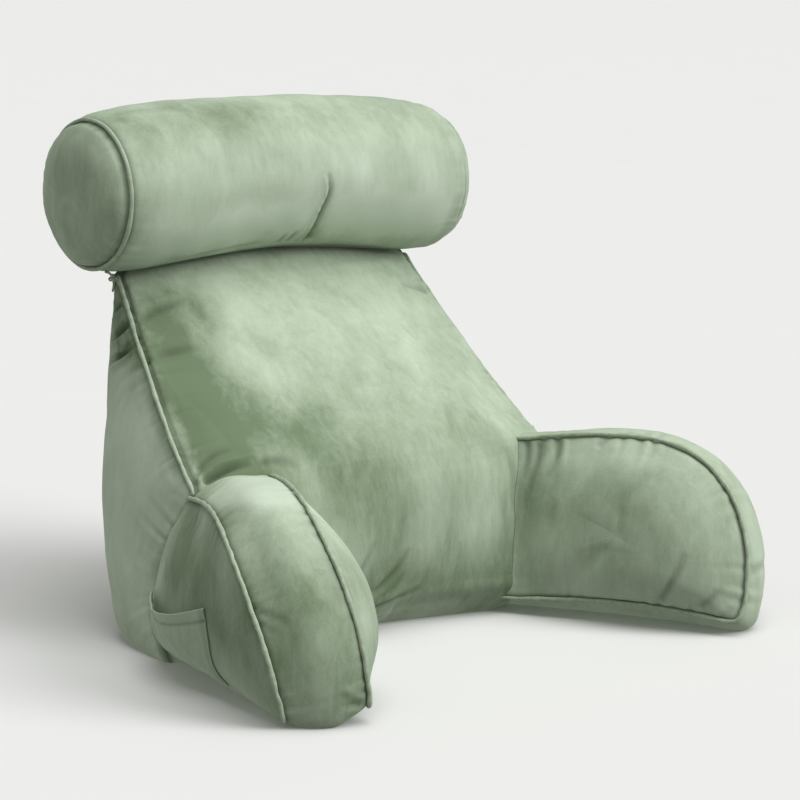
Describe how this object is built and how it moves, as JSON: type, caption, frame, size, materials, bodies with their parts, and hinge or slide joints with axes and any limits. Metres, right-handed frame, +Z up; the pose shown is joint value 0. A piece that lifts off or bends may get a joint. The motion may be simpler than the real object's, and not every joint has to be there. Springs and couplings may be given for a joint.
{
  "type": "reading pillow with arms",
  "caption": "Filled wedge backrest with two splayed arms, a neck roll along its top edge, piped seams and an open patch pocket on the outside of one arm.",
  "frame": {"origin": "on the floor, on the backrest's flat base, in the middle of the pillow's width and under the wedge", "axes": "+Z up, the sitter's side and the arms face -Y, +X to the right of someone facing the pillow's front"},
  "size_m": [0.7714, 0.6471, 0.6202],
  "materials": {
    "velvet": "short-pile velvet, sage green, its nap lighter and darker by the lie of the pile",
    "piping": "the same velvet over cord, 5 mm piping",
    "cord": "matt twisted cord"
  },
  "bodies": {
    "root": {"backrest": "velvet", "arm_left": "velvet", "arm_right": "velvet", "bolster": "velvet", "pocket": "velvet", "welt_backrest_left": "piping", "welt_backrest_right": "piping", "welt_arm_inner_left": "piping", "welt_arm_inner_right": "piping", "welt_arm_outer_left": "piping", "welt_arm_outer_right": "piping", "welt_bolster_left": "piping", "welt_bolster_right": "piping", "tie_left": "cord", "tie_right": "cord"}
  },
  "joints": []
}
